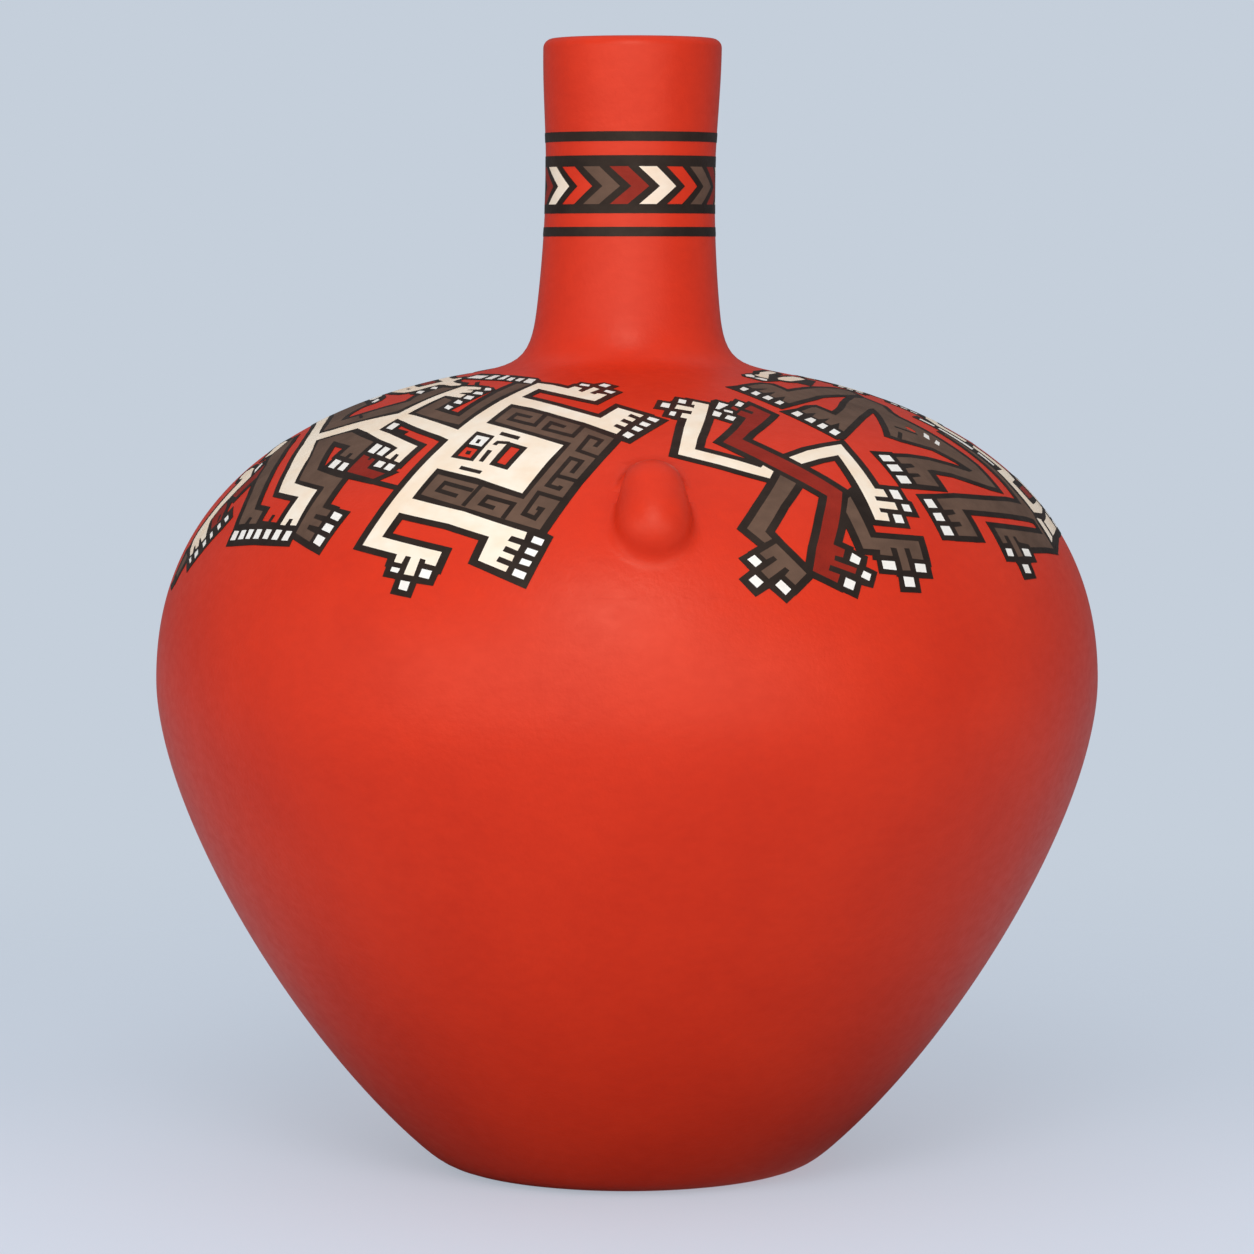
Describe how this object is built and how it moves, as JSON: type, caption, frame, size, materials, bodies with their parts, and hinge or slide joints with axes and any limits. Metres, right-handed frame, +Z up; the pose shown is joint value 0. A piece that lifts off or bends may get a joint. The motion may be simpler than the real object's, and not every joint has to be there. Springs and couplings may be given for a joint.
{
  "type": "earthenware bottle",
  "caption": "Narrow-necked earthenware bottle with a heart-shaped body, a small lug on the shoulder and a flat foot to rest on.",
  "frame": {"origin": "centre of the flat foot, at the bottom", "axes": "+Z up through the mouth, -Y out through the side with the lug"},
  "size_m": [0.1876, 0.1876, 0.2247],
  "materials": {
    "red_slip": "burnished red slip on fired clay, satin",
    "black_slip": "painted manganese slip, matt",
    "cream_slip": "painted pale slip, matt",
    "brown_slip": "painted grey-brown slip, matt",
    "maroon_slip": "painted dark red slip, matt",
    "white_slip": "painted white slip, matt"
  },
  "bodies": {
    "root": {"base_slab": "red_slip", "lower_wall_1": "red_slip", "lower_wall_2": "red_slip", "lower_wall_3": "red_slip", "lower_wall_4": "red_slip", "lower_wall_5": "red_slip", "shoulder_wall_1": "red_slip", "shoulder_wall_2": "red_slip", "shoulder_wall_3": "red_slip", "shoulder_wall_4": "red_slip", "shoulder_wall_5": "red_slip", "neck_collar": "red_slip", "neck_ring_1": "red_slip", "neck_ring_2": "red_slip", "rim_lip": "red_slip", "shoulder_lug": "red_slip"}
  },
  "joints": []
}
